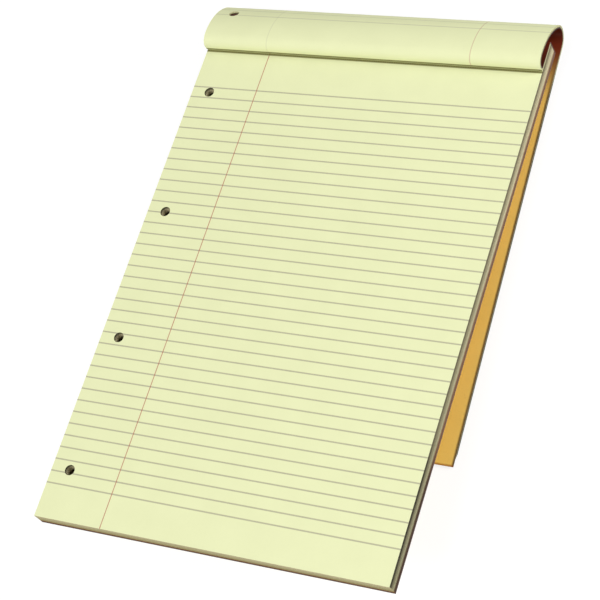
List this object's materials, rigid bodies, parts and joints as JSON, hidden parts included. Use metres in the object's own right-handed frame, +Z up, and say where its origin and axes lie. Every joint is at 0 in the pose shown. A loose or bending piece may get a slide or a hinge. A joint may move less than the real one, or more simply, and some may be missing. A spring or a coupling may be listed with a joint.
{
  "type": "stapled notepad",
  "caption": "Top-stapled writing pad of ruled yellow paper with punched holes, its orange card cover and first sheets turned back over the head.",
  "frame": {"origin": "bottom centre of the part's box, on the surface that the turned-back flap lies on", "axes": "+X across the pad to the right, +Y towards the head, +Z up"},
  "size_m": [0.21, 0.3306, 0.0423],
  "materials": {
    "yellow_paper": "uncoated, matt",
    "turned_paper": "uncoated, matt",
    "orange_card": "coated, satin",
    "grey_board": "raw, matt",
    "staple_wire": "drawn wire"
  },
  "bodies": {
    "root": {"page_block": "yellow_paper", "turned_sheets": "turned_paper", "cover": "orange_card", "back_board": "grey_board", "left_staple": "staple_wire", "right_staple": "staple_wire"}
  },
  "joints": []
}
